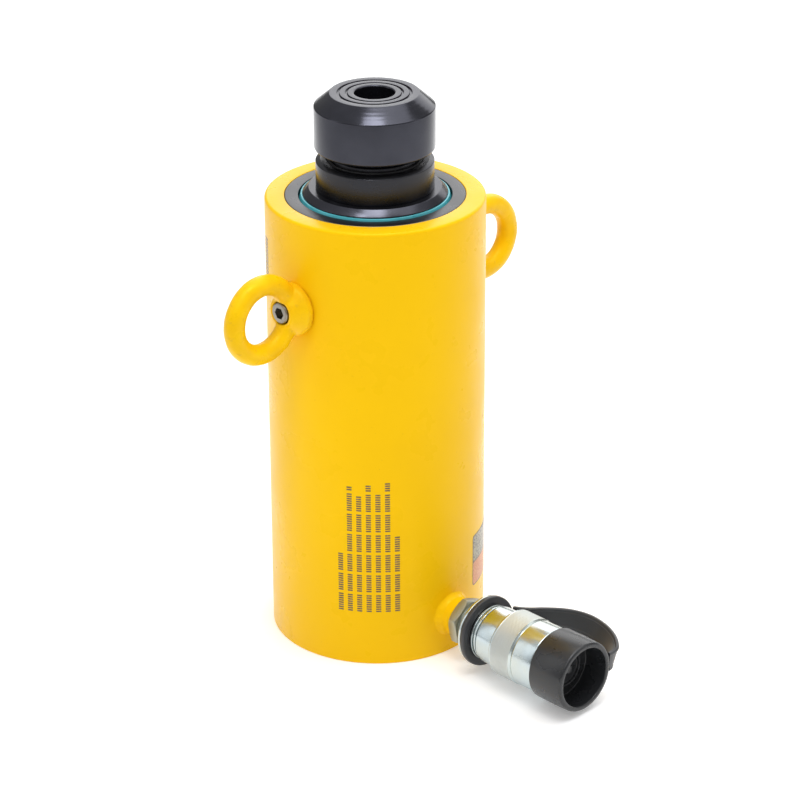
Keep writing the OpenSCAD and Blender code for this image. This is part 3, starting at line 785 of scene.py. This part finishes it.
def make_eyes():
    """Forged ring, foot and fillets in one skin, made once at +Y and mirrored for -Y."""
    seat = EYE_SEAT * MM
    centre = Vector((0, seat + EYE_REACH * MM, EYE_Z))
    outward = Matrix.Translation((0, seat, EYE_Z)) @ Matrix.Rotation(math.radians(-90), 4, "X")
    foot = revolve("foot", fillet([
        (6.4, 0.1, 0), (15, 0.1, 0.6), (15, 4.2, 1.6), (11.2, 8.2, 2.5), (8.6, 11.4, 0.8),
        (6.4, 11.4, 0),
    ]), 128)
    foot.transform(outward)
    hole = revolve("hole", fillet([(0, -1, 0), (6.4, -1, 0), (6.4, 14, 0), (0, 14, 0)]), 64)
    hole.transform(outward)
    ring = cut(ring_mesh(centre, EYE_RING_R * MM, EYE_WIRE_R * MM), hole)
    skin = loose(joined([ring, foot]))
    remesh = skin.modifiers.new("skin", "REMESH")
    remesh.mode = "VOXEL"
    remesh.voxel_size = EYE_VOXEL
    soften = skin.modifiers.new("soften", "SMOOTH")
    soften.factor = 0.5
    soften.iterations = 12
    mesh = baked(skin)
    for vertex in mesh.vertices:
        lump = noise.noise(vertex.co * 130) * 0.16 + noise.noise(vertex.co * 420) * 0.05
        vertex.co += vertex.normal * (lump - 0.12) * MM
        vertex.co.y = max(vertex.co.y, seat + 0.05 * MM)
    other = mesh.copy()
    other.transform(Matrix.Scale(-1, 4, (0, 1, 0)))
    other.flip_normals()
    piece("lifting_eye_right_forging", mesh, "forged", "root", ("lifting_eye_right",))
    piece("lifting_eye_left_forging", other, "forged", "root", ("lifting_eye_left",))


STUD_START = 50.5


def make_studs():
    """Two studs with hex sockets, from inside the barrel's wall to the eyes' faces."""
    length = high("eye_studs").y / MM - STUD_START
    parts = []
    for side in (-1, 1):
        stud = revolve("stud", fillet([(0, 0, 0), (5.9, 0, 0.3), (5.9, length, 0.9), (0, length, 0)]), 96)
        socket = prism(6, 3.46 * MM, (length - 5) * MM, (length + 2) * MM)
        stud = cut(stud, socket)
        place = Matrix.Translation((0, side * STUD_START * MM, EYE_Z))
        stud.transform(place @ Matrix.Rotation(math.radians(-90 * side), 4, "X"))
        parts.append(stud)
    piece("eye_stud_pair", joined(parts), "stud", "root", ("eye_studs",))


# Coupler --------------------------------------------------------------------------------------

HEX_CORNER_R = 14.43
HEX_TURN = 40


def make_adapter():
    """The hex adapter, with its chamfered corners, neck and thread."""
    start = high("port_boss").x / MM + 0.05
    end = start + 5.8
    body = prism(6, HEX_CORNER_R * MM, start * MM, end * MM, math.radians(90 + HEX_TURN))
    chamfer = revolve("chamfer", fillet([
        (0, start, 0), (HEX_CORNER_R - 1.7, start, 0), (HEX_CORNER_R + 0.1, start + 1.15, 0),
        (HEX_CORNER_R + 0.1, end - 1.15, 0), (HEX_CORNER_R - 1.7, end, 0), (0, end, 0),
    ]), 128)
    hexagon = bevelled(cut(body, chamfer, "INTERSECT"), 0.18 * MM)
    neck = revolve("neck", fillet([
        (4.2, end - 1, 0), (10.8, end - 1, 0), (10.8, end + 1.6, 0.3), (9.4, end + 2.2, 0.3),
        (9.4, 82.6, 0.3), (10.8, 83.2, 0.3), (10.8, 84.4, 0.2), (4.2, 84.4, 0),
    ]), 128)
    thread = revolve(
        "thread", fillet([(4.2, 53, 0), (8.4, 53, 0.5), (8.4, start + 0.5, 0), (4.2, start + 0.5, 0)]), 96,
    )
    piece(
        "adapter_hex", joined([hexagon, neck, thread]), "dull", "root", ("port_adapter",),
        ALONG_COUPLER,
    )


def make_coupler_body():
    """The coupler's body: rear flange, grooves, journal for the collar, and nose."""
    rear = low("coupler_body").x / MM
    nose = high("coupler_body").x / MM
    seat = 15.0
    rib = 16.2
    body_r = 16.8
    journal = 16.5
    turned(
        "coupler_body_turned",
        [
            (8.5, rear, 0), (19.5, rear, 0.4), (19.5, rear + 1.7, 0.4), (seat, rear + 1.7, 0.15),
            (seat, 90.9, 0.1), (rib, 90.9, 0.3), (rib, 92.3, 0.3), (seat, 92.3, 0.15),
            (seat, 93.2, 0.15), (rib, 93.2, 0.3), (rib, 94.7, 0.3), (seat, 94.7, 0.15),
            (seat, 95.5, 0.15), (body_r, 95.5, 0.6), (body_r, 108, 0.3), (journal, 108, 0.1),
            (journal, 126.6, 0.1), (15.4, 126.6, 0.1), (15.4, 128.1, 0.1), (16, 128.1, 0.1),
            (16, 129.4, 0.3), (14.2, 129.4, 0.2), (14.2, nose, 0.6), (10.2, nose, 0.5),
            (10.2, 132.4, 0.2), (6.4, 132.4, 0.2), (6.4, 130.8, 0.1), (9, 127.9, 0.1), (9, 104, 0.2),
            (4.6, 104, 0.2), (4.6, 96, 0), (8.5, 96, 0),
        ],
        "zinc", "root", ("coupler_body",), ALONG_COUPLER,
    )


KNURL_TEETH = 108
KNURL_DEPTH = 0.24
KNURL_ROWS = 66
KNURL_SEAT = 0.9
KNURL_END = 123.6


def make_collar():
    """The screw collar, and its knurled band as a second piece."""
    start = low("coupler_collar").x / MM
    end = high("coupler_collar").x / MM
    r = (high("coupler_collar").z - PORT_Z) / MM
    knurl_from = start + 1.3
    knurl_to = KNURL_END - 0.3
    front_r = r - 0.3
    seat = r - KNURL_SEAT
    turned(
        "collar_smooth",
        [
            (16.58, start, 0.1), (r, start, 0.9), (r, knurl_from, 0), (seat, knurl_from, 0),
            (seat, knurl_to, 0), (r, knurl_to, 0), (r, KNURL_END, 0.15),
            (r - 1.0, KNURL_END + 0.9, 0.15), (front_r - 0.25, KNURL_END + 1.6, 0.2),
            (front_r, KNURL_END + 2.3, 0.2), (front_r, end, 0.8), (17.5, end, 0.3), (17.5, 126.2, 0.1),
            (16.58, 126.2, 0),
        ],
        "zinc", "collar", ("coupler_collar",), ALONG_COUPLER,
    )

    def diamond(angle, radius, z):
        """Two crossing sets of fine grooves that run out at both ends of the band."""
        if radius < (r - 0.1) * MM:
            return 0.0
        x = z / MM
        slope = (x - knurl_from) / r
        one = abs(math.sin(KNURL_TEETH / 2 * (angle + slope)))
        two = abs(math.sin(KNURL_TEETH / 2 * (angle - slope)))
        run_out = min(1, (x - knurl_from) / 0.3, (knurl_to - x) / 0.3)
        return -KNURL_DEPTH * MM * run_out * (1 - min(one, two)) ** 1.6

    band = [Vector((seat, knurl_from)) * MM]
    for k in range(KNURL_ROWS + 1):
        band.append(Vector((r, knurl_from + (knurl_to - knurl_from) * k / KNURL_ROWS)) * MM)
    band.append(Vector((seat, knurl_to)) * MM)
    mesh = revolve("collar_knurl", band, KNURL_TEETH * 5, diamond)
    piece("collar_knurl", mesh, "knurl", "collar", (), ALONG_COUPLER)


SPRING_R = 6.6
SPRING_TURNS = 6
SPRING_STEPS = 30
WIRE_SIDES = 12


def make_spring():
    """The valve's return spring: a coil of wire from its rear end on the guide to its front end at the
    poppet.
    """
    wire = high("valve_spring").y - SPRING_R * MM
    start, end = low("valve_spring").x + wire, high("valve_spring").x - wire
    bm = bmesh.new()
    rings = []
    for step in range(SPRING_TURNS * SPRING_STEPS + 1):
        share = step / (SPRING_TURNS * SPRING_STEPS)
        angle = 2 * math.pi * SPRING_TURNS * share
        out = Vector((0, math.cos(angle), math.sin(angle)))
        centre = Vector((start + (end - start) * share, 0, PORT_Z)) + out * SPRING_R * MM
        ring = []
        for side in range(WIRE_SIDES):
            a = 2 * math.pi * side / WIRE_SIDES
            ring.append(bm.verts.new(centre + out * wire * math.cos(a) + Vector((wire * math.sin(a), 0, 0))))
        rings.append(ring)
    bridge(bm, rings)
    mesh = finished(bm, "valve_spring_wire")
    spring = piece("valve_spring_wire", mesh, "steel", None, ("valve_spring",))
    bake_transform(spring)


# Dust cap, ring and strap ---------------------------------------------------------------------

RING_REAR, RING_FRONT = 87.0, 90.0
RING_R = 20.5
RING_DROP = 0.3
RING_LEAN = 1.5
TAB_REACH = 1.5
TAB_HALF_WIDTH = math.radians(19)


def ring_tab(angle, r, _):
    """The strap grows out of a tab on the ring's +Y side."""
    away = abs(angle - math.pi / 2) / TAB_HALF_WIDTH
    if r < (RING_R - 2) * MM or away >= 1:
        return 0.0
    return TAB_REACH * MM * (1 - away ** 3)


def make_strap_ring():
    """The ring that anchors the strap, hanging in the coupler's rear groove."""
    half = (RING_FRONT - RING_REAR) / 2
    lean = Matrix.Rotation(math.radians(90 - RING_LEAN), 4, "Y")
    turned(
        "strap_ring_moulded",
        [(15.45, -half, 0.5), (RING_R, -half, 0.7), (RING_R, half, 0.7), (15.45, half, 0.5)],
        "strap", "root", ("strap_ring",),
        Matrix.Translation(((RING_REAR + half) * MM, 0, PORT_Z - RING_DROP * MM)) @ lean,
        radial=ring_tab,
    )


def make_cap():
    """The dust cap, with its open socket and the plug that fills the collar."""
    rear, rim = 140.2, high("dust_cap").x / MM
    r = (high("dust_cap").z - PORT_Z) / MM
    socket = 17.1
    floor = 148.4
    turned(
        "dust_cap_moulded",
        [
            (0, floor + 3.6, 0), (2.6, floor + 3.6, 0.8), (3.0, floor + 0.6, 0.5),
            (9.2, floor + 0.6, 0.3), (9.6, floor + 2.0, 0.4), (10.6, floor + 2.0, 0.4),
            (11.0, floor, 0.3), (socket, floor, 0.6), (socket, rim, 0.9), (r - 0.35, rim, 1.7),
            (r, rim - 9, 0), (r - 0.1, rear, 0.8), (17.1, rear, 0.2), (17.1, 130.5, 0.6),
            (14.6, 130.5, 0.2), (14.6, 142.4, 0.4), (0, 142.4, 0),
        ],
        "plastic", "dust_cap", ("dust_cap",), ALONG_COUPLER,
    )


# The strap's middle line from its ring to the cap, millimetres: the model's route in fewer points, with
# its start 0.6 mm nearer the ring's tab
STRAP_PATH = [
    (88.5, 21.3, 24.4), (93, 23.2, 24.8), (98, 26.6, 25.2), (103.5, 31.4, 25.7), (115, 38.8, 26.4),
    (128, 42.2, 26.6), (141, 40.8, 26.3), (152.5, 36.1, 25.7), (160.5, 29.6, 24.8), (161.7, 25.6, 24.2),
    (161.4, 21.5, 23.7),
]
STRAP_WIDTH = 11.3
STRAP_THICK = 2.2
STRAP_WIDER = 2.4
STRAP_LEAN = math.radians(18)


def smooth_path(points, per_span):
    """Catmull-Rom points through the given ones."""
    ends = [points[0] * 2 - points[1]] + points + [points[-1] * 2 - points[-2]]
    path = []
    for i in range(1, len(ends) - 2):
        a, b, c, d = ends[i - 1:i + 3]
        for k in range(per_span):
            t = k / per_span
            bend = a * 2 - b * 5 + c * 4 - d
            twist = b * 3 - a - c * 3 + d
            path.append((b * 2 + (c - a) * t + bend * t ** 2 + twist * t ** 3) / 2)
    path.append(points[-1])
    return path


def strap_section():
    """Rounded rectangle with a raised bead along both long edges: (across, up) in mm."""
    half_w, half_t = STRAP_WIDTH / 2, STRAP_THICK / 2
    web = half_t * 0.72
    bead = 1.5
    outline = [
        (-half_t, -half_w, 0.7), (half_t, -half_w, 0.7), (half_t, -half_w + bead, 0.4),
        (web, -half_w + bead + 0.5, 0.3), (web, half_w - bead - 0.5, 0.3), (half_t, half_w - bead, 0.4),
        (half_t, half_w, 0.7), (-half_t, half_w, 0.7), (-half_t, half_w - bead, 0.4),
        (-web, half_w - bead - 0.5, 0.3), (-web, -half_w + bead + 0.5, 0.3),
        (-half_t, -half_w + bead, 0.4),
    ]
    return fillet(outline)


def make_strap():
    """The strap runs from its ring to the cap. On the cap's half it widens and its foot leans inwards."""
    path = smooth_path([Vector(p) * MM for p in STRAP_PATH], 5)
    section = strap_section()
    half = STRAP_WIDTH / 2 * MM
    bm = bmesh.new()
    rings = []
    for i, point in enumerate(path):
        run = path[min(i + 1, len(path) - 1)] - path[max(i - 1, 0)]
        inward = Vector((run.y, -run.x, 0)).normalized()
        swell = math.sin(math.pi * (i / (len(path) - 1)) ** 2)
        lean = STRAP_LEAN * swell
        up = Vector((0, 0, math.cos(lean))) - inward * math.sin(lean)
        side = inward * math.cos(lean) + Vector((0, 0, math.sin(lean)))
        wide = 1 + STRAP_WIDER * swell / STRAP_WIDTH
        centre = point + Vector((0, 0, half)) - up * half * wide
        rings.append(
            [bm.verts.new(centre + side * across + up * height * wide) for across, height in section]
        )
    bridge(bm, rings)
    mesh = finished(bm, "strap")
    strap = piece("strap_moulded", mesh, "strap", None, ("dust_cap_strap",))
    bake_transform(strap)


# Printed marks, with no lettering -------------------------------------------------------------

PRINT_THICK = 0.06


def patch(bm, turn_low, turn_high, z_low, z_high, lift=PRINT_THICK, corner=0.0):
    """A thin curved slab on the barrel between two turns (degrees, 0 at -Y) and two heights (mm)."""
    per_mm = math.degrees(1 / (BARREL_R / MM))
    span = turn_high - turn_low
    steps = max(2, int(abs(span) / 1.2) + 1)
    stations = [turn_low + span * k / steps for k in range(steps + 1)]
    if corner:
        near = [corner * per_mm * (1 - math.cos(math.radians(15 * k))) for k in range(6)]
        stations = sorted(stations + [turn_low + d for d in near] + [turn_high - d for d in near])
    inner, outer = BARREL_R - 0.02 * MM, BARREL_R + lift * MM
    rows = []
    for turn in stations:
        direction = around(turn, 0)
        inset = 0.0
        if corner:
            from_side = min(turn - turn_low, turn_high - turn) / per_mm
            missing = max(0.0, corner - from_side)
            inset = corner - math.sqrt(corner ** 2 - missing ** 2)
        base, top = Vector((0, 0, (z_low + inset) * MM)), Vector((0, 0, (z_high - inset) * MM))
        corners = (
            direction * inner + base,
            direction * outer + base,
            direction * outer + top,
            direction * inner + top,
        )
        rows.append([bm.verts.new(place) for place in corners])
    bridge(bm, rows)


def printed(name, patches, material):
    """Thin slabs of print or sticker, joined into one piece on the barrel."""
    bm = bmesh.new()
    for item in patches:
        patch(bm, *item)
    bmesh.ops.remove_doubles(bm, verts=bm.verts, dist=1e-7)
    piece(name, finished(bm, name), material, "root")


MARK_TURN = CAMERA_AZIMUTH - 21.3
MARK_PITCH = 5.03
MARK_WIDTH = 2.7
MARK_BASE = 33.5
MARK_TOPS = (71, 113, 107, 114, 108, 115, 82)
BAR = 0.85
BAR_PITCH = 1.4
BARS_IN_BLOCK = 9


def make_marks():
    """Seven plain ladders of equal bars stand where the rating is printed, with no lettering in them."""
    bars = []
    for column, top in enumerate(MARK_TOPS):
        turn = MARK_TURN + column * MARK_PITCH
        for k in range(int((top - MARK_BASE) / BAR_PITCH)):
            if k % BARS_IN_BLOCK == BARS_IN_BLOCK - 1:
                continue
            z = MARK_BASE + k * BAR_PITCH
            bars.append((turn, turn + MARK_WIDTH, z, z + BAR))
    printed("rating_bars", bars, "ink")


EDGE_MARK_TURN = (CAMERA_AZIMUTH - 82, CAMERA_AZIMUTH - 75)
EDGE_MARK_Z = (219, 241)


def make_edge_mark():
    """One more plain ladder, high on the barrel's left."""
    bars = []
    z = EDGE_MARK_Z[0]
    while z < EDGE_MARK_Z[1]:
        bars.append((*EDGE_MARK_TURN, z, z + BAR * 1.5))
        z += BAR_PITCH * 1.5
    printed("edge_bars", bars, "ink")


LABEL_TURN = (CAMERA_AZIMUTH + 62, CAMERA_AZIMUTH + 106)
LABEL_Z = (32.0, 64.0)
LABEL_SPLIT = 46.8
LABEL_CORNER = 2.2
LABEL_EDGE = 0.55


def make_label():
    """A plain two-tone sticker with a dark edge: dotted grey above, orange below."""
    start, end = LABEL_TURN
    base, top = LABEL_Z
    edge_turn = math.degrees(LABEL_EDGE * MM / BARREL_R)
    printed("label_edge", [(start, end, base, top, 0.05, LABEL_CORNER)], "label_dark")
    inside = (start + edge_turn, end - edge_turn)
    printed(
        "label_lower", [(*inside, base + LABEL_EDGE, LABEL_SPLIT, 0.08, LABEL_CORNER - LABEL_EDGE)],
        "label_orange",
    )
    printed(
        "label_upper", [(*inside, LABEL_SPLIT + 0.6, top - LABEL_EDGE, 0.08, LABEL_CORNER - LABEL_EDGE)],
        "label_grey",
    )


# CAD nodes that keep their own shape ----------------------------------------------------------

KEPT = {
    "steel": ("saddle_screw", "saddle_washer", "valve_guide", "collar_snap_ring", "valve_poppet"),
    "rubber": (
        "gland_rod_seal", "gland_static_seal", "inner_rod_seal", "inner_static_seal",
        "coupler_nose_seal", "poppet_seal",
    ),
    "ptfe": ("gland_backup_ring", "inner_backup_ring"),
    "bronze": ("gland_guide_ring", "stage_1_guide_ring", "inner_gland_guide_ring", "stage_2_guide_ring"),
}


def finish_kept_nodes():
    """Gives the nodes that keep the model's own shape their finishes."""
    for material, names in KEPT.items():
        for name in names:
            node = frame["nodes"][name]
            node.data.materials.clear()
            node.data.materials.append(MATERIALS[material])


# ----------------------------------------------------------------------------------------------

make_camera()
make_materials()
make_floor()
make_lights()

TILT_Z = next(joint["pos_m"][2] for joint in frame["joints"] if joint["name"] == "saddle_tilt") / MM

make_barrel()
make_port_boss()
make_boss_weld()
make_gland()
make_sleeve()
make_inner_gland()
make_plunger(TILT_Z)
make_saddle(TILT_Z)
make_eyes()
make_studs()
make_adapter()
make_coupler_body()
make_collar()
make_spring()
make_strap_ring()
make_cap()
make_strap()
make_marks()
make_edge_mark()
make_label()
finish_kept_nodes()
